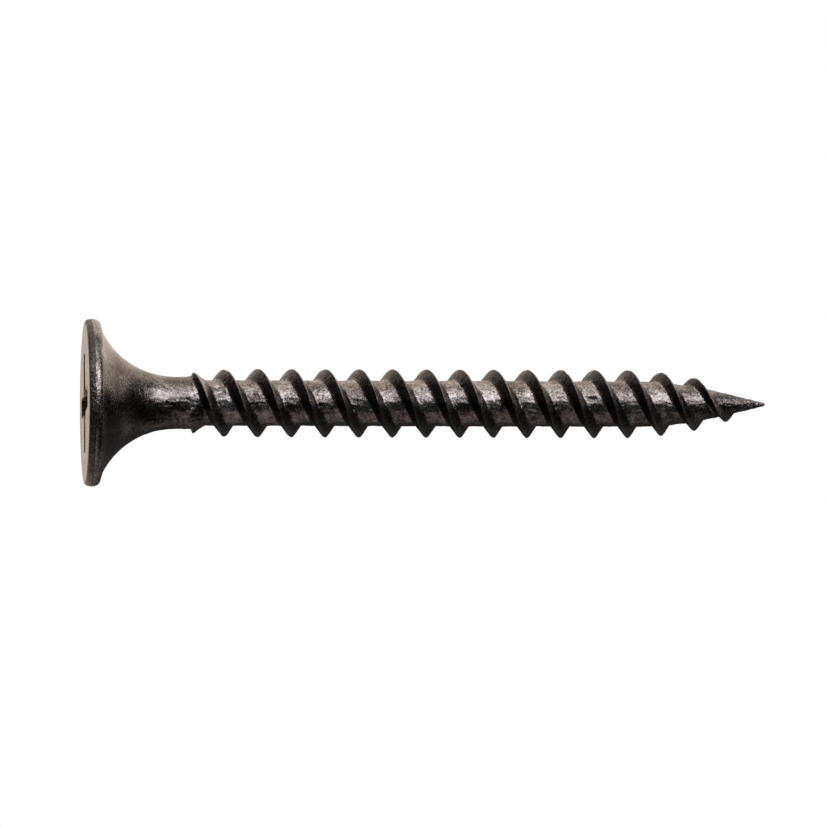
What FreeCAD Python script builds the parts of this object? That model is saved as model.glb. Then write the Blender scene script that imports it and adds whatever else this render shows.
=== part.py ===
import FreeCAD, Part
import math
import os

import Sketcher

# Twin-start bugle-head drywall screw, 3.5 x 35 mm, with a No. 2 cross recess.
# It is one piece of steel, so the part is one solid.
# Origin: centre of the flat head face. +X runs along the axis to the point. +Z is up.

doc = FreeCAD.newDocument("drywall_screw")


# ---------------------------------------------------------------- driving dimensions

DIMENSIONS = [
    # head
    ("head_diameter", 8.55, "outside diameter of the rim"),
    ("face_edge_radius", 0.20, "rounding between the face and the rim"),
    ("rim_land_end", 0.46, "depth below the face where the rim land ends"),
    ("rim_back_radius", 0.27, "rounding at the back of the rim"),
    ("rim_back_depth", 0.95, "depth below the face of the corner between the rim and the bugle"),
    ("bugle_radius", 4.18, "radius of the hollow under the head"),
    ("bugle_end", 4.62, "depth below the face where the hollow meets the shank"),
    # shank
    ("shank_diameter", 2.66, "plain shank under the head"),
    ("shank_end", 5.40, "depth below the face where the rolled thread begins"),
    ("root_start", 6.00, "depth below the face where the full root begins"),
    # thread
    ("thread_major", 3.50, "diameter over the crests"),
    ("thread_root", 2.326, "diameter at the root"),
    ("thread_lead", 3.45, "advance of one start in one turn"),
    ("thread_phase", 5.385, "depth below the face of the first crest on the +Y side"),
    ("flank_head_angle", 33.5, "angle of the flank that faces the head, from square to the axis"),
    ("flank_point_angle", 28.5, "angle of the flank that faces the point, from square to the axis"),
    ("crest_land", 0.05, "width of the flat on the crest"),
    ("die_edge", 0.40, "length of the steep cone that opens the threaded part"),
    ("run_in_crest", 1.60, "crest radius where the thread begins"),
    ("run_in_length", 3.0, "length over which the crest grows to full height"),
    ("crest_taper_start", 27.44, "depth below the face where the crest starts to fall"),
    ("crest_taper_rate", 0.0274, "fall of the crest radius per square millimetre of run"),
    ("long_start_end", 33.80, "depth below the face where the longer start dies out"),
    ("short_start_end", 32.60, "depth below the face where the shorter start dies out"),
    ("fade_length", 1.10, "length over which each start dies out"),
    ("burial", 0.12, "how deep the foot of the ridge sits inside the core"),
    # point
    ("taper_start", 28.0, "depth below the face where the core starts to narrow"),
    ("taper_radius", 19.7, "radius of the curve between the core and the cone"),
    ("cone_start", 32.60, "depth below the face where the straight cone begins"),
    ("cone_radius", 0.619, "core radius where the straight cone begins"),
    ("tip_start", 34.81, "depth below the face where the tip rounding begins"),
    ("tip_radius", 0.09, "core radius where the tip rounding begins"),
    ("overall_length", 34.88, "from the face to the tip"),
    # cross recess, No. 2
    ("recess_span", 5.10, "span across two opposite arms at the face"),
    ("recess_arm", 1.02, "width of one arm at the face"),
    ("recess_depth", 2.80, "depth of the straight part of the arms"),
    ("recess_deep_span", 2.30, "span across two arms at that depth"),
    ("recess_deep_arm", 0.86, "width of one arm at that depth"),
    ("recess_end", 3.20, "depth of the pointed bottom"),
    ("recess_end_span", 0.50, "span across two arms at the bottom"),
    ("recess_end_arm", 0.24, "width of one arm at the bottom"),
    ("recess_core", 2.10, "across the flats of the centre at the face"),
    ("recess_deep_core", 1.50, "across the flats of the centre at the straight depth"),
    ("recess_turn", 8.0, "turn of the cross about the axis, in degrees"),
]

sheet = doc.addObject("Spreadsheet::Sheet", "dims")
for row, (alias, value, meaning) in enumerate(DIMENSIONS, start=1):
    sheet.set("A%d" % row, meaning)
    sheet.set("B%d" % row, str(value))
    sheet.setAlias("B%d" % row, alias)
doc.recompute()


def dim(alias):
    """One driving dimension as a plain number."""
    return float(sheet.get(alias))


# ---------------------------------------------------------------- sketch helpers

def origin_item(body, role):
    """A plane or axis of the body's own origin."""
    return next(item for item in body.Origin.OriginFeatures if item.Role == role)


def new_sketch(body, name, role):
    """An empty sketch on one of the body's origin planes."""
    sketch = body.newObject("Sketcher::SketchObject", name)
    sketch.AttachmentSupport = [(origin_item(body, role), "")]
    sketch.MapMode = "FlatFace"
    return sketch


def value_of(expression):
    """The number that a sheet expression stands for, used to draw a sketch near its solution."""
    return float(sheet.evalExpression(expression))


def closed_outline(sketch, corners, arcs):
    """Draw a closed outline. Each corner is a pair of expressions, fixed from the origin.

    arcs maps the number of a side to (radius expression, centre on the left of travel).
    """
    places = [FreeCAD.Vector(value_of(u), value_of(v), 0) for u, v in corners]
    count = len(corners)
    for side in range(count):
        start, end = places[side], places[(side + 1) % count]
        if side not in arcs:
            sketch.addGeometry(Part.LineSegment(start, end), False)
            continue
        radius, left = value_of(arcs[side][0]), arcs[side][1]
        chord = end - start
        across = FreeCAD.Vector(-chord.y, chord.x, 0).normalize()
        reach = math.sqrt(max(radius**2 - (chord.Length / 2) ** 2, 0.0))
        sign = 1 if left else -1
        centre = (start + end) * 0.5 + across * (reach * sign)
        middle = centre - across * (radius * sign)
        sketch.addGeometry(Part.Arc(start, middle, end), False)
    # Part.Arc turns counter-clockwise once it is in a sketch, so an arc travelled clockwise
    # has its ends swapped.
    def end_of(side, last):
        if side in arcs and not arcs[side][1]:
            return 1 if last else 2
        return 2 if last else 1

    for side in range(count):
        following = (side + 1) % count
        sketch.addConstraint(
            Sketcher.Constraint("Coincident", side, end_of(side, True), following, end_of(following, False))
        )
    for side, (u, v) in enumerate(corners):
        for kind, expression, number in (("DistanceX", u, places[side].x), ("DistanceY", v, places[side].y)):
            index = sketch.addConstraint(
                Sketcher.Constraint(kind, -1, 1, side, end_of(side, False), number)
            )
            sketch.setExpression("Constraints[%d]" % index, expression)
    for side, (radius, _) in arcs.items():
        index = sketch.addConstraint(Sketcher.Constraint("Radius", side, value_of(radius)))
        sketch.setExpression("Constraints[%d]" % index, radius)


# ---------------------------------------------------------------- blank: head, shank, core and point

def build_blank():
    """The headed blank with its root core and point, turned from one profile, and the recess."""
    body = doc.addObject("PartDesign::Body", "blank")
    body.Label = "headed blank"
    rim = "dims.head_diameter / 2"
    shank = "dims.shank_diameter / 2"
    root = "dims.thread_root / 2"
    bugle_top = (
        shank + " + dims.bugle_radius"
        " - sqrt(dims.bugle_radius ^ 2 - (dims.bugle_end - dims.rim_back_depth) ^ 2)"
    )
    tip_round = (
        "(dims.tip_radius ^ 2 + (dims.overall_length - dims.tip_start) ^ 2)"
        " / (2 * (dims.overall_length - dims.tip_start))"
    )
    corners = [
        ("0", "0"),
        ("0", rim + " - dims.face_edge_radius"),
        ("dims.face_edge_radius", rim),
        ("dims.rim_land_end", rim),
        ("dims.rim_land_end + dims.rim_back_radius", rim + " - dims.rim_back_radius"),
        ("dims.rim_back_depth", bugle_top),
        ("dims.bugle_end", shank),
        ("dims.shank_end", shank),
        ("dims.root_start", root),
        ("dims.taper_start", root),
        ("dims.cone_start", "dims.cone_radius"),
        ("dims.tip_start", "dims.tip_radius"),
        ("dims.overall_length", "0"),
    ]
    arcs = {
        1: ("dims.face_edge_radius", False),
        3: ("dims.rim_back_radius", False),
        5: ("dims.bugle_radius", True),
        9: ("dims.taper_radius", False),
        11: (tip_round, False),
    }
    profile = new_sketch(body, "blank_profile", "XY_Plane")
    closed_outline(profile, corners, arcs)
    turned = body.newObject("PartDesign::Revolution", "turned_blank")
    turned.Profile = profile
    turned.ReferenceAxis = (profile, ["H_Axis"])
    turned.Angle = 360
    profile.Visibility = False
    doc.recompute()
    cut_recess(body)
    return body


def recess_sketch(body, name, depth, corners):
    """One outline of the recess at a given depth, turned about the axis."""
    sketch = new_sketch(body, name, "YZ_Plane")
    turn = FreeCAD.Rotation(FreeCAD.Vector(0, 0, -1), dim("recess_turn"))
    sketch.AttachmentOffset = FreeCAD.Placement(FreeCAD.Vector(0, 0, value_of(depth)), turn)
    sketch.setExpression("AttachmentOffset.Base.z", depth)
    sketch.setExpression("AttachmentOffset.Rotation.Angle", "dims.recess_turn")
    closed_outline(sketch, corners, {})
    sketch.Visibility = False
    return sketch


def cross_corners(span, arm):
    """The twelve corners of a cross, counter-clockwise from the right-hand arm."""
    s, a = "%s / 2" % span, "%s / 2" % arm
    return [
        (s, "-" + a), (s, a), (a, a), (a, s), ("-" + a, s), ("-" + a, a),
        ("-" + s, a), ("-" + s, "-" + a), ("-" + a, "-" + a), ("-" + a, "-" + s), (a, "-" + s), (a, "-" + a),
    ]


def diamond_corners(across_flats):
    """The four corners of a square that stands on its corner."""
    reach = "%s / sqrt(2)" % across_flats
    return [(reach, "0"), ("0", reach), ("-" + reach, "0"), ("0", "-" + reach)]


def cut_loft(body, name, sections):
    """Cut the straight-sided loft through a list of sketches."""
    loft = body.newObject("PartDesign::SubtractiveLoft", name)
    loft.Profile = sections[0]
    loft.Sections = [(section, [""]) for section in sections[1:]]
    loft.Ruled = True
    doc.recompute()
    return loft


def cut_recess(body):
    """The cross recess: four tapered arms, a tapered centre and a pointed bottom."""
    arms = [
        recess_sketch(body, "arms_at_face", "0", cross_corners("dims.recess_span", "dims.recess_arm")),
        recess_sketch(
            body, "arms_at_depth", "dims.recess_depth",
            cross_corners("dims.recess_deep_span", "dims.recess_deep_arm"),
        ),
        recess_sketch(
            body, "arms_at_end", "dims.recess_end",
            cross_corners("dims.recess_end_span", "dims.recess_end_arm"),
        ),
    ]
    centre = [
        recess_sketch(body, "centre_at_face", "0", diamond_corners("dims.recess_core")),
        recess_sketch(body, "centre_at_depth", "dims.recess_depth", diamond_corners("dims.recess_deep_core")),
    ]
    doc.recompute()
    cut_loft(body, "recess_arms", arms)
    cut_loft(body, "recess_centre", centre)


# ---------------------------------------------------------------- thread: two starts

FULL_TURN = 360  # degrees
STEP_ANGLE = 15  # degrees between the points that guide a helical edge
RUN_IN_ANGLE = -90  # degrees before the first crest at which a ridge is drawn, for trimming


def core_radius(depth):
    """Radius of the threaded core at a depth below the face."""
    root = dim("thread_root") / 2
    start, end = dim("taper_start"), dim("cone_start")
    if depth <= start:
        return root
    if depth >= end:
        slope = (dim("cone_radius") - dim("tip_radius")) / (dim("tip_start") - end)
        return dim("cone_radius") - slope * (depth - end)
    radius = dim("taper_radius")
    first = FreeCAD.Vector(start, root, 0)
    chord = FreeCAD.Vector(end, dim("cone_radius"), 0) - first
    inward = FreeCAD.Vector(chord.y, -chord.x, 0).normalize()
    centre = first + chord * 0.5 + inward * math.sqrt(radius**2 - (chord.Length / 2) ** 2)
    return centre.y + math.sqrt(radius**2 - (depth - centre.x) ** 2)


def crest_radius(depth, end):
    """Radius of the crest: it grows after the run-in, falls towards the point and dies out at end."""
    full = dim("thread_major") / 2
    grown = min(max((depth - dim("shank_end")) / dim("run_in_length"), 0.0), 1.0)
    radius = full - (full - dim("run_in_crest")) * (1 - grown) ** 2
    past = max(depth - dim("crest_taper_start"), 0.0)
    radius = radius - dim("crest_taper_rate") * past**2
    left = min(max((end - depth) / dim("fade_length"), 0.0), 1.0)
    sunk = core_radius(depth) - dim("burial") / 2
    return sunk + (radius - sunk) * left**2 * (3 - 2 * left)


def ruled_face(first, second):
    """The straight-ruled face between two guide curves that share their knots."""
    poles = [[one, other] for one, other in zip(first.getPoles(), second.getPoles())]
    surface = Part.BSplineSurface()
    surface.buildFromPolesMultsKnots(
        poles, first.getMultiplicities(), [2, 2], first.getKnots(), [0.0, 1.0],
        False, False, first.Degree, 1,
    )
    return surface.toShape()


def ridge_solid(turned_by, end, first, last):
    """One thread start between two angles, as a solid ridge with its foot inside the core."""
    head_slope = math.tan(math.radians(dim("flank_head_angle")))
    point_slope = math.tan(math.radians(dim("flank_point_angle")))
    half_land = dim("crest_land") / 2
    edges = [[], [], [], []]
    for angle in range(first, last + 1, STEP_ANGLE):
        depth = dim("thread_phase") + dim("thread_lead") * angle / FULL_TURN
        crest = crest_radius(depth, end)
        foot = core_radius(depth) - dim("burial")
        height = crest - foot
        around = math.radians(angle + turned_by)
        for edge, along, radius in (
            (edges[0], -half_land - height * head_slope, foot),
            (edges[1], -half_land, crest),
            (edges[2], half_land, crest),
            (edges[3], half_land + height * point_slope, foot),
        ):
            edge.append(FreeCAD.Vector(depth + along, radius * math.cos(around), radius * math.sin(around)))
    curves = []
    for edge in edges:
        curve = Part.BSplineCurve()
        curve.interpolate(Points=edge, Parameters=[float(number) for number in range(len(edge))])
        curves.append(curve)
    faces = [ruled_face(curves[side], curves[(side + 1) % 4]) for side in range(4)]
    for number in (0, -1):
        rim = [edge[number] for edge in edges]
        faces.append(Part.Face(Part.makePolygon(rim + rim[:1])))
    shell = Part.makeShell(faces)
    shell.sewShape()
    solid = Part.makeSolid(shell)
    if solid.Volume < 0:
        solid.reverse()
    return solid


def build_start(name, turned_by, end, limit):
    """One thread start, one turn at a time. The first turn is trimmed by the limit shape."""
    span = dim("thread_lead") / FULL_TURN
    last = math.ceil((end - dim("thread_phase")) / (span * STEP_ANGLE)) * STEP_ANGLE
    turns = []
    for number, angle in enumerate(range(RUN_IN_ANGLE, last, FULL_TURN), start=1):
        turn = doc.addObject("Part::Feature", "%s_turn_%d" % (name, number))
        turn.Shape = ridge_solid(turned_by, end, angle, min(angle + FULL_TURN, last))
        turn.Placement = FreeCAD.Placement()
        if number == 1:
            trimmed = doc.addObject("Part::Common", name + "_run_in")
            trimmed.Base = turn
            trimmed.Tool = limit
            turn = trimmed
        turns.append(turn)
    return turns


def build_limit():
    """The space the rolling dies reach: it opens with a steep cone at the end of the shank."""
    along_axis = FreeCAD.Rotation(FreeCAD.Vector(0, 1, 0), 90)
    cone = doc.addObject("Part::Cone", "limit_cone")
    cone.Placement = FreeCAD.Placement(FreeCAD.Vector(dim("shank_end"), 0, 0), along_axis)
    cone.setExpression("Placement.Base.x", "dims.shank_end")
    cone.setExpression("Radius1", "dims.thread_root / 2")
    cone.setExpression("Radius2", "dims.thread_major")
    cone.setExpression("Height", "dims.die_edge")
    tube = doc.addObject("Part::Cylinder", "limit_cylinder")
    tube.Placement = FreeCAD.Placement(FreeCAD.Vector(dim("shank_end"), 0, 0), along_axis)
    tube.setExpression("Placement.Base.x", "dims.shank_end + dims.die_edge")
    tube.setExpression("Radius", "dims.thread_major")
    tube.setExpression("Height", "dims.overall_length - dims.shank_end")
    limit = doc.addObject("Part::MultiFuse", "thread_limit")
    limit.Shapes = [cone, tube]
    return limit


# ---------------------------------------------------------------- the screw

blank = build_blank()
limit = build_limit()
doc.recompute()
long_start = build_start("long_start", 180, dim("long_start_end"), limit)
short_start = build_start("short_start", 0, dim("short_start_end"), limit)
doc.recompute()
screw = doc.addObject("Part::MultiFuse", "screw")
screw.Shapes = [blank] + long_start + short_start
screw.Label = "screw"
screw.Placement = FreeCAD.Placement()
doc.recompute()

for item in doc.Objects:
    assert "Invalid" not in item.State and "Error" not in item.State, item.Name

os.makedirs("parts", exist_ok=True)
for item in (screw,):
    shape = item.Shape
    assert not shape.isNull() and shape.isValid(), item.Label
    assert len(shape.Solids) == 1, item.Label
    shape.exportStep("parts/%s.step" % item.Label)
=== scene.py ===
import math

import bpy
import numpy as np
from mathutils import Matrix, Vector, noise


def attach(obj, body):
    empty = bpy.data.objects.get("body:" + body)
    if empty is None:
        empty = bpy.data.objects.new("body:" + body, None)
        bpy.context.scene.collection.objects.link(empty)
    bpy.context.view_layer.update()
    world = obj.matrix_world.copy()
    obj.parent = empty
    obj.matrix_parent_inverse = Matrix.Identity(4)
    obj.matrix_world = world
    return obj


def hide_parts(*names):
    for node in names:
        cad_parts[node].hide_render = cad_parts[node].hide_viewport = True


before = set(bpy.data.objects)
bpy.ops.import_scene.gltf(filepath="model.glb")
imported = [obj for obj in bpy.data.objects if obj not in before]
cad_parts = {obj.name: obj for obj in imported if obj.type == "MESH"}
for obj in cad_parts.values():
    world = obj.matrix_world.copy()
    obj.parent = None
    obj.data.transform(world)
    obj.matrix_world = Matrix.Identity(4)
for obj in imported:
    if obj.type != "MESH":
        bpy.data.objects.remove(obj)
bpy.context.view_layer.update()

# Sizes below are millimetres, as in the CAD model, and MM turns them into metres.
# Depths are measured from the face of the head along the screw, and angles from +Y towards +Z.
MM = 0.001

# ---------------------------------------------------------------- sizes of the screw

LENGTH = 34.875

# head
RIM_RADIUS = 4.270
FACE_EDGE = 0.20  # rounding between the face and the rim
RIM_CONE_END = 0.34  # depth where the conical front of the rim ends
RIM_SLOPE = 0.16
RIM_LAND_END = 0.38
RIM_BACK = 0.27  # rounding at the back of the rim: across the axis, then along it
RIM_BACK_LENGTH = 0.40
RIM_BACK_DEPTH = 0.95
BUGLE_RADIUS = 4.18
BUGLE_END = 4.62

# shank, root and point
SHANK_RADIUS = 1.33
SHANK_END = 5.40
ROOT_START = 6.00
ROOT_RADIUS = 1.163
TAPER_START = 28.0
TAPER_RADIUS = 19.7
TAPER_REACH = 5.0
CONE_START = 32.60
CONE_RADIUS = 0.619
TIP_START = 34.81
TIP_RADIUS = 0.09

# thread
LEAD = 3.45
HALF_LEAD = LEAD / 2
PHASE = 5.385
CREST_RADIUS = 1.75
HEAD_FLANK = math.tan(math.radians(33.5))
POINT_FLANK = math.tan(math.radians(28.5))
START_FLANK = math.tan(math.radians(55))  # the flank towards the point where the thread begins
START_SPREAD = 0.7
CREST_LAND = 0.03
CREST_ROUNDING = 0.02
RIDGE_BURIAL = 0.08
ROOT_FILLET = 0.035
RUN_IN_CREST = 1.60
RUN_IN_LENGTH = 3.0
DIE_EDGE = 0.16
CREST_TAPER_START = 27.44
CREST_TAPER_RATE = 0.0274
START_ENDS = (32.60, 33.80)
FADE_LENGTH = 1.10

# cross recess
RECESS_TURN = math.radians(8.0)
# depth, span across two arms, width of an arm, across the flats of the centre
RECESS_LEVELS = (
    (0.00, 5.20, 1.12, 2.20),
    (0.03, 5.13, 1.05, 2.13),
    (0.09, 5.09, 1.02, 2.10),
    (0.50, 4.60, 0.99, 2.00),
    (1.10, 4.00, 0.95, 1.87),
    (1.70, 3.40, 0.92, 1.74),
    (2.30, 2.80, 0.88, 1.61),
    (2.80, 2.30, 0.85, 1.50),
    (3.00, 1.40, 0.55, 0.92),
    (3.18, 0.50, 0.20, 0.34),
)
RECESS_END = 3.20
ARM_CORNER = 0.12  # rounding at the end of an arm, and the most it takes of a narrow arm's half width
ARM_CORNER_SHARE = 0.4


def core_radius(x):
    """Radius of the screw without its thread, at depths x."""
    x = np.asarray(x, dtype=float)
    bugle = SHANK_RADIUS + BUGLE_RADIUS - np.sqrt(np.maximum(BUGLE_RADIUS**2 - (BUGLE_END - x) ** 2, 0))
    r = np.where(x < BUGLE_END, bugle, SHANK_RADIUS)
    step = np.clip((x - SHANK_END) / (ROOT_START - SHANK_END), 0, 1)
    r = np.where(x > SHANK_END, SHANK_RADIUS + (ROOT_RADIUS - SHANK_RADIUS) * step, r)
    past_start = np.clip(x - TAPER_START, 0, TAPER_REACH)
    taper = ROOT_RADIUS - TAPER_RADIUS + np.sqrt(TAPER_RADIUS**2 - past_start**2)
    r = np.where(x > TAPER_START, taper, r)
    slope = (CONE_RADIUS - TIP_RADIUS) / (TIP_START - CONE_START)
    r = np.where(x > CONE_START, CONE_RADIUS - slope * (x - CONE_START), r)
    reach = LENGTH - TIP_START
    round_radius = (TIP_RADIUS**2 + reach**2) / (2 * reach)
    from_centre = np.clip(x - (LENGTH - round_radius), -round_radius, round_radius)
    return np.where(x > TIP_START, np.sqrt(np.maximum(round_radius**2 - from_centre**2, 0)), r)


def soft_max(a, b, width):
    """The larger of a and b, with the corner between them rounded over a width."""
    return 0.5 * (a + b + np.sqrt((a - b) ** 2 + width**2)) - 0.25 * width


def thread_radius(x, angle):
    """Radius of the thread ridges at depths x and given angles, below the core where there is none."""
    best = np.zeros_like(x)
    for turn, end in zip((0.0, math.pi), START_ENDS):
        cycles = (x - PHASE) / LEAD - (angle + turn) / (2 * math.pi)
        off = (cycles - np.round(cycles)) * LEAD
        crest_x = x - off
        grown = np.clip((crest_x - SHANK_END) / RUN_IN_LENGTH, 0, 1)
        crest = CREST_RADIUS - (CREST_RADIUS - RUN_IN_CREST) * (1 - grown) ** 2
        crest = crest - CREST_TAPER_RATE * np.maximum(crest_x - CREST_TAPER_START, 0) ** 2
        left = np.clip((end - crest_x) / FADE_LENGTH, 0, 1)
        sunk = core_radius(crest_x) - RIDGE_BURIAL
        crest = sunk + (crest - sunk) * left**2 * (3 - 2 * left)
        away = np.maximum(np.abs(off) - CREST_LAND / 2, 0)
        rounded = np.sqrt(away**2 + CREST_ROUNDING**2) - CREST_ROUNDING
        spread = (START_FLANK - POINT_FLANK) * np.exp(-(((crest_x - SHANK_END) / START_SPREAD) ** 2))
        ridge = crest - rounded / np.where(off < 0, HEAD_FLANK, POINT_FLANK + spread)
        best = np.maximum(best, ridge)
    opening = ROOT_RADIUS + (x - SHANK_END) / DIE_EDGE * (CREST_RADIUS - ROOT_RADIUS)
    return np.minimum(best, opening)


def screw_radius(x, angle):
    """Radius of the whole screw surface at depths x and given angles."""
    core = core_radius(x)
    ridge = thread_radius(x, angle)
    return np.where(x > SHANK_END, soft_max(core, ridge, ROOT_FILLET), core)


# ---------------------------------------------------------------- mesh of the screw

AROUND = 144  # points in one turn
TURNS = 2 * math.pi * np.arange(AROUND) / AROUND
# column places in one crest spacing, from the crest: dense over the crest and the flanks
COLUMN_PLACES = (
    -0.50, -0.45, -0.405, -0.36, -0.29, -0.22, -0.15, -0.09, -0.045, -0.015, 0.015, 0.045,
    0.09, 0.15, 0.21, 0.27, 0.315, 0.36, 0.44, 0.56, 0.70, 0.84, 0.98, 1.11,
)
PER_LEAD = 2 * len(COLUMN_PLACES)
FIRST_CREST = -2
LAST_CREST = 21
SQUEEZE_START = 33.0
SQUEEZE_RATE = 1.25

# rings of the head: how many under it, then those by the corner between the bugle and the rim as depth
# and radius from that corner, those up to the rim's rounding, and those on the rim and the face
UNDERSIDE_RINGS = 8
UNDERSIDE_MARGIN = 0.04
CORNER_RINGS = ((0.005, 0.0), (-0.02, 0.05))
SLOPE_SHARES = (0.25, 0.5, 0.75)
BACK_STEPS = 8
RIM_DEPTHS = (0.36, 0.34, 0.30, 0.26, 0.22)
FACE_EDGE_STEPS = 6
FACE_SHARES = (0.04, 0.10, 0.18, 0.28, 0.40, 0.52, 0.64, 0.75, 0.85, 0.93, 0.98)

# points along a quarter of the recess's outline: the end, the side and the chamfer of an arm
ARM_END_SHARES = (0.35, 0.7)
ARM_SIDE_STEPS = 7
CHAMFER_STEPS = 6
ARM_HALF = 17  # points from an outline's start to its arm's middle
# The arm that points up lies RECESS_TURN from +Z towards +Y.
ARM_ANGLE = math.pi / 2 - RECESS_TURN
ARM_ROLL = round(ARM_ANGLE / (2 * math.pi) * AROUND) - ARM_HALF

points = []
faces = []


def add_points(x, y, z):
    """Adds points and returns the number of the first."""
    first = len(points)
    points.extend(zip(np.ravel(x).tolist(), np.ravel(y).tolist(), np.ravel(z).tolist()))
    return first


def add_ring(x, y, z):
    """Adds AROUND points and returns their numbers."""
    start = add_points(x, y, z)
    return list(range(start, start + AROUND))


def join_rings(inner, outer):
    """Faces between two rings of AROUND points. inner lies nearer the face of the head than outer."""
    for j in range(AROUND):
        k = (j + 1) % AROUND
        faces.append((inner[j], inner[k], outer[k], outer[j]))


def squeeze(along):
    """Depths for the sheared columns: true to size, then ever closer to the tip."""
    reach = LENGTH - SQUEEZE_START
    past = np.maximum(along - SQUEEZE_START, 0)
    return np.where(along < SQUEEZE_START, along, LENGTH - reach * np.exp(-past * SQUEEZE_RATE / reach))


def next_share(index, chain):
    """How far along a chain its next point lies, from 0 to 1, or past every point at its end."""
    if index < len(chain) - 1:
        return (index + 1) / max(len(chain) - 1, 1)
    return 2.0


def zip_columns(left, right):
    """Triangles between two chains of points that need not have the same count."""
    i = 0
    j = 0
    while i < len(left) - 1 or j < len(right) - 1:
        if next_share(i, left) < next_share(j, right):
            faces.append((left[i], right[j], left[i + 1]))
            i += 1
        else:
            faces.append((left[i], right[j], right[j + 1]))
            j += 1


def build_shaft():
    """Shank, thread and point, on columns that follow the helix. Returns the open ring towards the head."""
    starts = PHASE + HALF_LEAD * np.arange(FIRST_CREST, LAST_CREST + 1)
    along = (starts[:, None] + np.array(COLUMN_PLACES)[None, :]).ravel()
    columns = len(along)
    x = squeeze(along[:, None] + LEAD * TURNS[None, :] / (2 * math.pi))
    angle = np.broadcast_to(TURNS[None, :], x.shape)
    r = screw_radius(x, angle)
    first = add_points(x, r * np.cos(angle), r * np.sin(angle))
    seam = AROUND - 1

    def place(j, c):
        return first + c * AROUND + j

    for c in range(columns - 1):
        for j in range(seam):
            faces.append((place(j, c), place(j + 1, c), place(j + 1, c + 1), place(j, c + 1)))
        past = c + PER_LEAD
        if past + 1 < columns:
            faces.append((place(seam, c), place(0, past), place(0, past + 1), place(seam, c + 1)))

    # the wedge between the plain ring and the first sheared column
    ring_x = along[0]
    ring = [place(0, 0)]
    chains = [[place(0, 0)]]
    for j in range(1, AROUND):
        count = max(round(PER_LEAD * j / AROUND), 1)
        xs = ring_x + LEAD * j / AROUND * np.arange(count) / count
        rs = screw_radius(xs, np.full_like(xs, TURNS[j]))
        start = add_points(xs, rs * math.cos(TURNS[j]), rs * math.sin(TURNS[j]))
        chains.append(list(range(start, start + count)) + [place(j, 0)])
        ring.append(start)
    chains.append([place(0, c) for c in range(PER_LEAD + 1)])
    for left, right in zip(chains, chains[1:]):
        zip_columns(left, right)

    # the tip closes the last column and the seam beside it
    tip = add_points([LENGTH], [0.0], [0.0])
    loop = [place(j, columns - 1) for j in range(AROUND)]
    loop += [place(seam, columns - 1 - k) for k in range(1, PER_LEAD + 1)]
    for a, b in zip(loop, loop[1:] + loop[:1]):
        faces.append((a, b, tip))
    return ring, ring_x


def recess_outline(span, arm, centre):
    """The points of the recess outline at one level, one for each point around, as (y, z)."""
    s = span / 2
    a = arm / 2
    chamfer = centre / math.sqrt(2)
    corner = min(ARM_CORNER, ARM_CORNER_SHARE * a)
    inner = chamfer - a
    corner_middle = corner * (1 - math.sqrt(0.5))
    quarter = [(s, 0.0)]
    for share in ARM_END_SHARES:
        quarter.append((s, share * (a - corner)))
    quarter.append((s, a - corner))
    quarter.append((s - corner_middle, a - corner_middle))
    quarter.append((s - corner, a))
    for k in range(1, ARM_SIDE_STEPS + 1):
        quarter.append((s - corner + (inner - s + corner) * k / ARM_SIDE_STEPS, a))
    for k in range(1, CHAMFER_STEPS + 1):
        t = k / CHAMFER_STEPS
        quarter.append((inner + (chamfer / 2 - inner) * t, a + (chamfer / 2 - a) * t))
    arm_points = [(u, -v) for u, v in reversed(quarter[1:-1])] + quarter
    outline = []
    for number in range(4):
        c = math.cos(number * math.pi / 2)
        d = math.sin(number * math.pi / 2)
        outline += [(u * c - v * d, u * d + v * c) for u, v in arm_points]
    return outline


def recess_ring(depth, span, arm, centre):
    """The recess outline at one level, turned to where the arms lie, as x, y and z."""
    shape = np.array(recess_outline(span, arm, centre))
    c = math.cos(ARM_ANGLE)
    s = math.sin(ARM_ANGLE)
    y = shape[:, 0] * c - shape[:, 1] * s
    z = shape[:, 0] * s + shape[:, 1] * c
    return np.full(AROUND, depth), np.roll(y, ARM_ROLL), np.roll(z, ARM_ROLL)


def head_profile(ring_x, edge_radius):
    """Depth and radius of each ring from the shank, over the underside and the rim, to the face."""
    corner_radius = float(core_radius(RIM_BACK_DEPTH))
    underside = np.linspace(ring_x, RIM_BACK_DEPTH + UNDERSIDE_MARGIN, UNDERSIDE_RINGS)[1:]
    profile = [(x, float(core_radius(x))) for x in underside]
    profile += [(RIM_BACK_DEPTH + x, corner_radius + r) for x, r in CORNER_RINGS]

    slope_start = profile[-1][0]
    back = RIM_LAND_END + RIM_BACK_LENGTH
    land_corner = RIM_RADIUS - RIM_BACK
    for t in SLOPE_SHARES:
        x = slope_start + (back - slope_start) * t
        profile.append((x, corner_radius + (land_corner - corner_radius) * t))
    for k in range(BACK_STEPS + 1):
        a = math.pi / 2 * k / BACK_STEPS
        profile.append((RIM_LAND_END + RIM_BACK_LENGTH * math.cos(a), land_corner + RIM_BACK * math.sin(a)))
    for x in RIM_DEPTHS:
        profile.append((x, RIM_RADIUS - RIM_SLOPE * max(RIM_CONE_END - x, 0)))
    for k in range(FACE_EDGE_STEPS + 1):
        a = math.pi / 2 * k / FACE_EDGE_STEPS
        profile.append((FACE_EDGE * (1 - math.sin(a)), edge_radius - FACE_EDGE + FACE_EDGE * math.cos(a)))
    return profile


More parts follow.
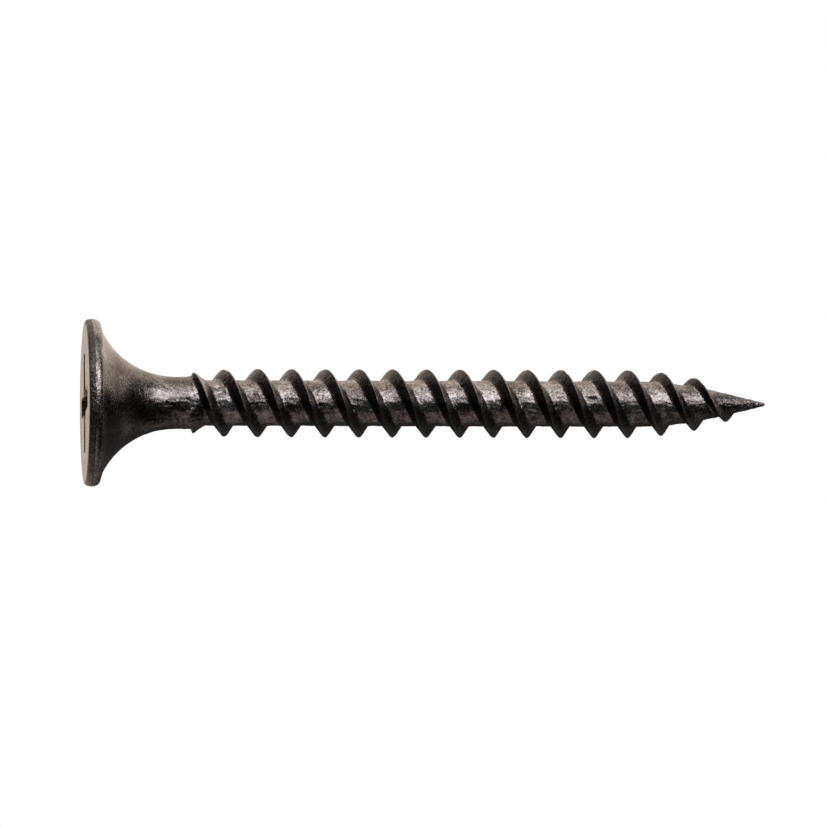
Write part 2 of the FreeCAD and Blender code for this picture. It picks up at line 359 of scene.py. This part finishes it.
def build_head(ring, ring_x):
    """Underside, rim, face and recess, ring by ring towards the bottom of the recess."""
    edge_radius = RIM_RADIUS - RIM_SLOPE * (RIM_CONE_END - FACE_EDGE)
    outer = ring
    for x, r in head_profile(ring_x, edge_radius):
        inner = add_ring(np.full(AROUND, x), r * np.cos(TURNS), r * np.sin(TURNS))
        join_rings(inner, outer)
        outer = inner

    # the flat face, from its edge to the lip of the recess
    flat_edge = edge_radius - FACE_EDGE
    _, lip_y, lip_z = recess_ring(*RECESS_LEVELS[0])
    for w in FACE_SHARES:
        y = (1 - w) * flat_edge * np.cos(TURNS) + w * lip_y
        z = (1 - w) * flat_edge * np.sin(TURNS) + w * lip_z
        inner = add_ring(np.zeros(AROUND), y, z)
        join_rings(inner, outer)
        outer = inner
    for level in RECESS_LEVELS:
        inner = add_ring(*recess_ring(*level))
        join_rings(inner, outer)
        outer = inner
    bottom = add_points([RECESS_END], [0.0], [0.0])
    for j in range(AROUND):
        faces.append((bottom, outer[(j + 1) % AROUND], outer[j]))


build_head(*build_shaft())

mesh = bpy.data.meshes.new("screw_detail")
mesh.from_pydata([tuple(c * MM for c in p) for p in points], [], faces)
mesh.validate()
mesh.update()
screw = bpy.data.objects.new("screw_detail", mesh)
bpy.context.scene.collection.objects.link(screw)
mesh.polygons.foreach_set("use_smooth", [True] * len(mesh.polygons))


# ---------------------------------------------------------------- marks left by forging and rolling

SEED = 4
# depth, angle in degrees, radius and depth of each larger dent
NAMED_DENTS = (
    (6.72, 50, 0.22, 0.080),
    (6.98, 62, 0.21, 0.075),
    (7.05, 44, 0.16, 0.055),
    (6.45, 66, 0.16, 0.055),
    (8.55, 70, 0.18, 0.040),
    (12.10, 96, 0.17, 0.040),
    (13.60, 104, 0.22, 0.050),
    (15.30, 62, 0.14, 0.018),
    (19.20, 80, 0.17, 0.020),
    (22.40, 55, 0.15, 0.020),
    (25.85, 76, 0.26, 0.075),
)
RANDOM_DENTS = 420
RANDOM_DENT_DEPTHS = (4.2, 33.5)  # where along the screw they lie
RANDOM_DENT_RADIUS = 0.07
RANDOM_DENT_SPREAD = 0.13
RANDOM_DENT_HOLLOW = (0.08, 0.26)  # depth as a share of the radius
DENT_REACH = 1.6  # all shares of the dent's radius from here
LIP_AT = 1.05
LIP_WIDTH = 0.22
LIP_HEIGHT = 0.25  # share of the dent's depth

# noises per millimetre
BLOTCH_COARSE = 3.6
BLOTCH_MEDIUM = 7.5
BLOTCH_MIX = 0.6
FINE = 11.0
STREAK = 9.0
STREAK_STRETCH = 0.22
SLOW = 1.3

# heights of the marks
ROOT_BLOTCH = 0.026
ROOT_FINE = 0.012
RIDGE_BLOTCH = 0.006
RIDGE_FINE = 0.003
SHANK_STREAK = 0.020
SHANK_BLOTCH = 0.012
SHANK_FINE = 0.008
SLOW_WAVE = 0.004
HEAD_WAVE = 0.0018
BITE_FOLD = 0.095
BITE_SINK = 0.016
BITE_FINE = 0.022
RIPPLE = 0.009
CHIP = 0.09

BITE_AT = 0.06  # folds where the dies first bite, from the end of the shank
BITE_WIDTH = 0.22
RIPPLE_SPACING = 0.27
RIPPLE_WAVER = 0.25
CHIP_FROM = 0.28  # noise above this chips a crest
TRUE_RIM = 0.3  # the outermost part of the rim only moves inwards
TRUE_TIP = 0.1  # the last part of the point doesn't move
BARE_SHARE = 0.5  # how much of the land's coating the bare point has


def smooth_step(t):
    """0 below 0, 1 above 1 and smooth between them."""
    t = np.clip(t, 0, 1)
    return t * t * (3 - 2 * t)


def rise(value, start, length):
    """0 up to a start, then rising to 1 over a length."""
    return smooth_step((value - start) / length)


def fall(value, end, length):
    """1, falling to 0 over the length before an end."""
    return smooth_step((end - value) / length)


def bell(value, middle, width):
    """1 in the middle, fading to 0 on both sides."""
    return np.exp(-(((value - middle) / width) ** 2))


def grain(coords, scale, seed):
    """Smooth noise from about -1 to 1 at each of the points, one value for each."""
    shift = Vector((seed * 17.3, seed * 5.9, seed * 11.1))
    return np.array([noise.noise(Vector(p) + shift) for p in (coords * scale).tolist()])


def dent_list():
    """Centres, radii and depths of all dents."""
    chance = np.random.default_rng(SEED)
    dents = [(x, math.radians(a), radius, depth) for x, a, radius, depth in NAMED_DENTS]
    for _ in range(RANDOM_DENTS):
        x = chance.uniform(*RANDOM_DENT_DEPTHS)
        angle = chance.uniform(0, 2 * math.pi)
        radius = RANDOM_DENT_RADIUS + RANDOM_DENT_SPREAD * chance.random() ** 2
        dents.append((x, angle, radius, radius * chance.uniform(*RANDOM_DENT_HOLLOW)))
    return dents


def zone_masks(x, radius, angle):
    """How far each point belongs to each part of the screw, from 0 to 1."""
    zone = {}
    core = core_radius(x)
    threaded = rise(x - SHANK_END, -0.4, 0.5)
    on_ridge = rise(radius - core, 0.03, 0.10)
    crest = rise(radius - thread_radius(x, angle), -0.02, 0.02) * rise(radius - core, 0.25, 0.2)
    zone["crest"] = crest
    zone["ridge"] = threaded * on_ridge
    zone["root"] = threaded * (1 - on_ridge)
    zone["threaded_crest"] = crest * threaded
    zone["shank"] = rise(x, 2.2, 1.5) * (1 - threaded)
    # the underside of the head and the plain shank, which the material paints in shade and makes glossier
    zone["under_head"] = rise(x, 0.86, 0.10) * (1 - threaded)
    zone["head"] = 1 - rise(x, 1.0, 0.6)
    zone["face"] = fall(x, 0.02, 0.02) * fall(radius, 4.04, 0.05)
    zone["bare"] = rise(x, 32.9, 0.6) * fall(x, LENGTH - 0.15, 0.5)

    # the flanks towards the head, which the material paints in shade and gives a coarser bump, and the
    # rim's land with some of its coating on the bare point
    off = ((x - PHASE) / HALF_LEAD - angle / math.pi + 0.5) % 1 - 0.5
    zone["leading"] = zone["ridge"] * rise(-off * HALF_LEAD, -0.02, 0.05)
    land = rise(radius, 4.02, 0.12) * fall(x, 0.36, 0.06)
    zone["land"] = np.maximum(land, BARE_SHARE * zone["bare"])
    return zone


def rough_surface(place, x, angle, zone):
    """How far the grain, folds, ripples and chips move each point out along its normal."""
    drawn = np.column_stack((x * STREAK_STRETCH, place[:, 1], place[:, 2]))
    blotch = grain(place, BLOTCH_COARSE, 1) + BLOTCH_MIX * grain(place, BLOTCH_MEDIUM, 2)
    fine = grain(place, FINE, 3)
    streak = grain(drawn, STREAK, 4)
    slow = grain(place, SLOW, 5)

    move = zone["root"] * (ROOT_BLOTCH * blotch + ROOT_FINE * fine)
    move += zone["ridge"] * (RIDGE_BLOTCH * blotch + RIDGE_FINE * fine)
    move += zone["shank"] * (SHANK_STREAK * streak + SHANK_BLOTCH * blotch + SHANK_FINE * fine)
    move += (1 - zone["head"]) * SLOW_WAVE * slow
    move -= zone["head"] * HEAD_WAVE * np.abs(grain(place, 2.4, 6))

    # folds where the dies first bite
    folds = BITE_FOLD * np.abs(grain(place, 2.9, 7)) - BITE_SINK + BITE_FINE * grain(place, 6.0, 8)
    move += bell(x - SHANK_END, BITE_AT, BITE_WIDTH) * folds

    # ripples left by rolling on the bare point, running the way the helix does
    along = x - LEAD * angle / (2 * math.pi)
    ripples = np.sin(2 * math.pi * (along / RIPPLE_SPACING + RIPPLE_WAVER * slow))
    move += zone["bare"] * RIPPLE * ripples

    # small chips out of the crests
    chips = np.maximum(grain(place, 2.2, 9) - CHIP_FROM, 0)
    move -= zone["crest"] * CHIP * chips
    return move


def add_dents(place, x, move):
    """Adds the dents with their raised lips to move, and returns how deep in a dent each point lies."""
    pits = np.zeros_like(x)
    for dent_x, dent_angle, dent_radius, dent_depth in dent_list():
        rows = np.nonzero(np.abs(x - dent_x) < dent_radius * DENT_REACH)[0]
        base = float(screw_radius(np.array([dent_x]), np.array([dent_angle % (2 * math.pi)]))[0])
        centre = np.array((dent_x, base * math.cos(dent_angle), base * math.sin(dent_angle)))
        far = np.linalg.norm(place[rows] - centre, axis=1) / dent_radius
        bowl = smooth_step(1 - far)
        move[rows] += dent_depth * (LIP_HEIGHT * bell(far, LIP_AT, LIP_WIDTH) - bowl)
        pits[rows] = np.maximum(pits[rows], bowl)
    return pits


def write_masks(name, masks):
    """Stores three masks as a colour for each point."""
    attribute = mesh.color_attributes.new(name, "FLOAT_COLOR", "POINT")
    attribute.data.foreach_set("color", np.column_stack((*masks, np.ones(len(masks[0])))).ravel())


def mark_surface():
    """Moves the points of the mesh to show the marks, and stores the masks for the material."""
    place = np.array(points)
    x = place[:, 0]
    radius = np.hypot(place[:, 1], place[:, 2])
    angle = np.arctan2(place[:, 2], place[:, 1])
    flat_normals = np.empty(len(mesh.vertices) * 3)
    mesh.vertices.foreach_get("normal", flat_normals)
    normal = flat_normals.reshape(-1, 3)

    zone = zone_masks(x, radius, angle)
    move = rough_surface(place, x, angle, zone)
    pits = add_dents(place, x, move)
    # the rim and the tip keep their full size
    move = np.where(radius > RIM_RADIUS - TRUE_RIM, np.minimum(move, 0), move)
    move = np.where(x > LENGTH - TRUE_TIP, 0, move)
    mesh.vertices.foreach_set("co", ((place + normal * move[:, None]) * MM).ravel())
    write_masks("marks", (zone["threaded_crest"], zone["land"], pits))
    write_masks("zones", (zone["face"], zone["leading"], zone["under_head"]))
    mesh.update()


mark_surface()


# ---------------------------------------------------------------- node helpers


def give(tree, socket, value):
    """Gives a socket a number, a colour or another node's output."""
    if isinstance(value, (int, float)):
        socket.default_value = value
    elif isinstance(value, tuple):
        socket.default_value = (*value, 1)
    else:
        tree.links.new(value, socket)


def ramp_node(tree, value, stops):
    """A colour ramp through stops of position and colour."""
    node = tree.nodes.new("ShaderNodeValToRGB")
    elements = node.color_ramp.elements
    for element, stop in ((elements[0], stops[0]), (elements[1], stops[-1])):
        element.position = stop[0]
        element.color = (*stop[1], 1)
    for position, color in stops[1:-1]:
        elements.new(position).color = (*color, 1)
    give(tree, node.inputs["Fac"], value)
    return node.outputs["Color"]


def mix_color(tree, factor, a, b):
    """Colour a where the factor is 0 and b where it is 1."""
    node = tree.nodes.new("ShaderNodeMix")
    node.data_type = "RGBA"
    for number, value in ((0, factor), (6, a), (7, b)):
        give(tree, node.inputs[number], value)
    return node.outputs[2]


# ---------------------------------------------------------------- material

PER_MM = 1000.0  # the material's own coordinates are metres

# colours
SPECULAR_TINT = (1.0, 0.90, 0.83)
COATING = ((0.40, (0.048, 0.038, 0.033)), (0.50, (0.158, 0.129, 0.113)), (0.60, (0.315, 0.267, 0.242)))
WORN_CREST = (0.36, 0.34, 0.33)
PITTED = (0.060, 0.050, 0.044)
DULL_LAND = (0.040, 0.032, 0.027)
# painted shade: a darker colour over the underside of the head and the plain shank
UNDER_HEAD_SHADE = (0.050, 0.041, 0.036)
# painted shade: near black on the flanks of the thread that face the head
LEADING_FLANK_SHADE = (0.014, 0.011, 0.010)

# noises: how many per millimetre, levels of detail and their roughness
CLOUD = (0.9, 4.0, 0.55)
CRYSTALS = (9.0, 3.0, 0.65)
SPECK = (4.5, 2.0, 0.5)
LAND_GRAIN = (6.0, 2.0, 0.6)
FLANK_GRAIN = (3.6, 2.0, 0.6)
BUMP_DEPTH = 0.019

material = bpy.data.materials.new("black_phosphate")
material.use_nodes = True
tree = material.node_tree
shader = tree.nodes["Principled BSDF"]
shader.inputs["Metallic"].default_value = 1.0
shader.inputs["Specular Tint"].default_value = (*SPECULAR_TINT, 1)
coordinates = tree.nodes.new("ShaderNodeTexCoord")


def noise_node(kind):
    per_mm, detail, roughness = kind
    node = tree.nodes.new("ShaderNodeTexNoise")
    node.inputs["Scale"].default_value = per_mm * PER_MM
    node.inputs["Detail"].default_value = detail
    node.inputs["Roughness"].default_value = roughness
    tree.links.new(coordinates.outputs["Object"], node.inputs["Vector"])
    return node.outputs["Fac"]


def math_node(operation, *values):
    node = tree.nodes.new("ShaderNodeMath")
    node.operation = operation
    for socket, value in zip(node.inputs, values):
        give(tree, socket, value)
    return node.outputs[0]


def mask_nodes(name):
    """The three masks stored under a name."""
    attribute = tree.nodes.new("ShaderNodeAttribute")
    attribute.attribute_name = name
    split = tree.nodes.new("ShaderNodeSeparateColor")
    tree.links.new(attribute.outputs["Color"], split.inputs["Color"])
    return split.outputs


def lay_over(color, mask, share, layer):
    """The colour with a share of another laid over it where the mask is 1."""
    return mix_color(tree, math_node("MULTIPLY", mask, share), color, layer)


crest_part, land_part, pit_part = mask_nodes("marks")
face_part, leading_part, under_head_part = mask_nodes("zones")
crystals = noise_node(CRYSTALS)

# colour
cloud_share = math_node("MULTIPLY", noise_node(CLOUD), 0.45)
crystal_share = math_node("MULTIPLY", crystals, 0.55)
color = ramp_node(tree, math_node("ADD", cloud_share, crystal_share), COATING)
color = lay_over(color, crest_part, 0.7, WORN_CREST)
color = lay_over(color, pit_part, 0.6, PITTED)
color = lay_over(color, land_part, 0.75, DULL_LAND)
# painted shade laid over the underside of the head and the plain shank
color = lay_over(color, under_head_part, 0.45, UNDER_HEAD_SHADE)
# painted shade, near black, on the flanks that face the head
color = lay_over(color, leading_part, 0.95, LEADING_FLANK_SHADE)
tree.links.new(color, shader.inputs["Base Color"])

# roughness: specks, then more on the land and less under the head and on the face
rough = math_node("MULTIPLY_ADD", noise_node(SPECK), 0.34, 0.14)
rough = math_node("MULTIPLY_ADD", under_head_part, -0.07, rough)
rough = math_node("MULTIPLY_ADD", land_part, 0.08, rough)
rough = math_node("MULTIPLY_ADD", face_part, -0.10, rough)
tree.links.new(rough, shader.inputs["Roughness"])

# bump: crystals, and a coarser grain on the land and the leading flanks
land_grain = math_node("MULTIPLY", noise_node(LAND_GRAIN), 3.5)
flank_grain = math_node("MULTIPLY", noise_node(FLANK_GRAIN), 2.5)
height = math_node("MULTIPLY_ADD", land_part, land_grain, crystals)
height = math_node("MULTIPLY_ADD", leading_part, flank_grain, height)
bump = tree.nodes.new("ShaderNodeBump")
bump.inputs["Strength"].default_value = 1.0
bump.inputs["Distance"].default_value = BUMP_DEPTH * MM
tree.links.new(height, bump.inputs["Height"])
tree.links.new(bump.outputs["Normal"], shader.inputs["Normal"])
mesh.materials.append(material)

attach(screw, "root")
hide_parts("screw")


# ---------------------------------------------------------------- floor

TILT = math.radians(5.27)  # how far the camera turns towards the face of the head
ACROSS = Vector((math.cos(TILT), 0, math.sin(TILT)))
UP = Vector((0, 1, 0))
BACK = Vector((-math.sin(TILT), 0, math.cos(TILT)))

FLOOR_HALF = 60
FLOOR_GAP = 0.04  # below the rim
FLOOR_CONTACT = 0.4  # depth where the rim meets the floor
FLOOR_MIDDLE = 18  # along the floor from there
FLOOR_COLOR = (0.08, 0.08, 0.08)
FLOOR_GLOW = 1.6
GLOW_REACH = 40
GLOW_TINT = (1, 0.98, 0.96)
GLOW_START = (0.02, 0.02, 0.02)
GLOW_END = (1.0, 0.985, 0.97)
# position over the floor's width and brightness; the glow is dim from 8 mm on the screw's -Y side up to the
# screw, a painted shadow of the screw
GLOW_LEVELS = (
    (0.18, 0.04), (0.25, 0.24), (0.34, 0.24), (0.40, 0.03), (0.505, 0.03), (0.525, 0.70), (0.56, 0.95),
)
BESIDE_FACE = (-17.6, -18.4)  # along the floor from its middle
BESIDE_FACE_GLOW = (0.50, 0.47, 0.43)
BEYOND_TIP = (18, 28)
BEYOND_TIP_GLOW = (0.04, 0.04, 0.04)


def white_to_the_camera(tree, seen, lit, output):
    """Shows one shader in the picture and lights the screw with another."""
    path = tree.nodes.new("ShaderNodeLightPath")
    mix = tree.nodes.new("ShaderNodeMixShader")
    tree.links.new(path.outputs["Is Camera Ray"], mix.inputs[0])
    tree.links.new(lit.outputs[0], mix.inputs[1])
    tree.links.new(seen.outputs[0], mix.inputs[2])
    tree.links.new(mix.outputs[0], output.inputs["Surface"])


def map_range(tree, value, low, high):
    """0 where the value is low and 1 where it is high, both in millimetres."""
    node = tree.nodes.new("ShaderNodeMapRange")
    node.inputs["From Min"].default_value = low * MM
    node.inputs["From Max"].default_value = high * MM
    tree.links.new(value, node.inputs["Value"])
    return node.outputs["Result"]


def floor_material():
    """Plain white in the picture. What lights the screw is an uneven glow over the floor."""
    white = bpy.data.materials.new("floor_white")
    white.use_nodes = True
    tree = white.node_tree
    lit = tree.nodes["Principled BSDF"]
    lit.inputs["Base Color"].default_value = (*FLOOR_COLOR, 1)
    lit.inputs["Roughness"].default_value = 0.9
    lit.inputs["Specular IOR Level"].default_value = 0.0
    lit.inputs["Emission Strength"].default_value = FLOOR_GLOW
    place = tree.nodes.new("ShaderNodeTexCoord")
    axes = tree.nodes.new("ShaderNodeSeparateXYZ")
    tree.links.new(place.outputs["Object"], axes.inputs["Vector"])

    stops = [(0.0, GLOW_START)]
    for position, level in GLOW_LEVELS:
        stops.append((position, tuple(level * tint for tint in GLOW_TINT)))
    stops.append((1.0, GLOW_END))
    glow = ramp_node(tree, map_range(tree, axes.outputs["Y"], -GLOW_REACH, GLOW_REACH), stops)
    beside_face = map_range(tree, axes.outputs["X"], *BESIDE_FACE)
    glow = mix_color(tree, beside_face, glow, BESIDE_FACE_GLOW)
    beyond_tip = map_range(tree, axes.outputs["X"], *BEYOND_TIP)
    glow = mix_color(tree, beyond_tip, glow, BEYOND_TIP_GLOW)
    tree.links.new(glow, lit.inputs["Emission Color"])

    seen = tree.nodes.new("ShaderNodeEmission")
    seen.inputs["Strength"].default_value = 1.0
    white_to_the_camera(tree, seen, lit, tree.nodes["Material Output"])
    return white


def build_floor():
    half = FLOOR_HALF * MM
    corners = [(-half, -half, 0), (half, -half, 0), (half, half, 0), (-half, half, 0)]
    floor_mesh = bpy.data.meshes.new("floor")
    floor_mesh.from_pydata(corners, [], [(0, 1, 2, 3)])
    floor_mesh.materials.append(floor_material())
    floor = bpy.data.objects.new("floor", floor_mesh)
    bpy.context.scene.collection.objects.link(floor)
    contact = Vector((FLOOR_CONTACT * MM, 0, -(RIM_RADIUS + FLOOR_GAP) * MM))
    floor.matrix_world = Matrix.Translation(contact + ACROSS * FLOOR_MIDDLE * MM) @ Matrix(
        ((ACROSS.x, 0, BACK.x, 0), (0, 1, 0, 0), (ACROSS.z, 0, BACK.z, 0), (0, 0, 0, 1))
    )


build_floor()

# ---------------------------------------------------------------- lights and world

LIGHT_DISTANCE = 0.35  # metres, as the sizes of the boxes
# name, direction (across, up, towards the camera), width, height, radiance and colour
SOFT_BOXES = (
    ("key", (0.38, 0.66, 0.75), 0.26, 0.26, 5.4, (0.84, 0.90, 1.0)),
    ("top", (-0.35, 1.0, 0.30), 0.44, 0.22, 2.4, (1.0, 0.985, 0.97)),
    ("low", (-0.10, -0.94, 0.40), 0.22, 0.34, 0.60, (1.0, 0.93, 0.98)),
)
WORLD_SEEN = (1, 1, 1)
WORLD_LIT = (1, 0.95, 0.97)
WORLD_GLOW = 0.02


def soft_box(name, toward, width, height, radiance, color):
    """An area light that looks at the middle of the screw."""
    data = bpy.data.lights.new(name, "AREA")
    data.shape = "RECTANGLE"
    data.size = width
    data.size_y = height
    data.energy = radiance * math.pi * width * height
    data.color = color
    lamp = bpy.data.objects.new(name, data)
    bpy.context.scene.collection.objects.link(lamp)
    direction = ACROSS * toward[0] + UP * toward[1] + BACK * toward[2]
    middle = Vector((LENGTH / 2 * MM, 0, 0))
    lamp.location = middle + direction.normalized() * LIGHT_DISTANCE
    lamp.rotation_mode = "QUATERNION"
    lamp.rotation_quaternion = direction.to_track_quat("Z", "Y")
    lamp.visible_camera = False


def build_world():
    world = bpy.data.worlds.new("studio")
    bpy.context.scene.world = world
    world.use_nodes = True
    tree = world.node_tree
    seen = tree.nodes["Background"]
    seen.inputs["Color"].default_value = (*WORLD_SEEN, 1)
    seen.inputs["Strength"].default_value = 1.0
    lit = tree.nodes.new("ShaderNodeBackground")
    lit.inputs["Color"].default_value = (*WORLD_LIT, 1)
    lit.inputs["Strength"].default_value = WORLD_GLOW
    white_to_the_camera(tree, seen, lit, tree.nodes["World Output"])


for box in SOFT_BOXES:
    soft_box(*box)
build_world()

# ---------------------------------------------------------------- camera

CAMERA_DISTANCE = 510.5
CAMERA_ROLL = 0.0029
AIM_DEPTH = 17.30
AIM_ACROSS = -0.484975
AIM_UP = -0.505395
VIEW_WIDTH = 42.21835  # what the picture takes in at the screw
SENSOR_WIDTH = 36

camera_data = bpy.data.cameras.new("camera")
camera = bpy.data.objects.new("camera", camera_data)
bpy.context.scene.collection.objects.link(camera)
bpy.context.scene.camera = camera
aim = Vector((AIM_DEPTH * MM, 0, 0)) + ACROSS * (AIM_ACROSS * MM) + UP * (AIM_UP * MM)
camera.location = aim + BACK * (CAMERA_DISTANCE * MM)
roll = Matrix.Rotation(CAMERA_ROLL, 3, BACK)
axes = Matrix((ACROSS, UP, BACK)).transposed()
camera.rotation_mode = "QUATERNION"
camera.rotation_quaternion = (roll @ axes).to_quaternion()
camera_data.sensor_width = SENSOR_WIDTH
camera_data.lens = SENSOR_WIDTH * CAMERA_DISTANCE / VIEW_WIDTH
camera_data.clip_start = 0.01
camera_data.clip_end = 5

bpy.context.scene.view_settings.view_transform = "Standard"
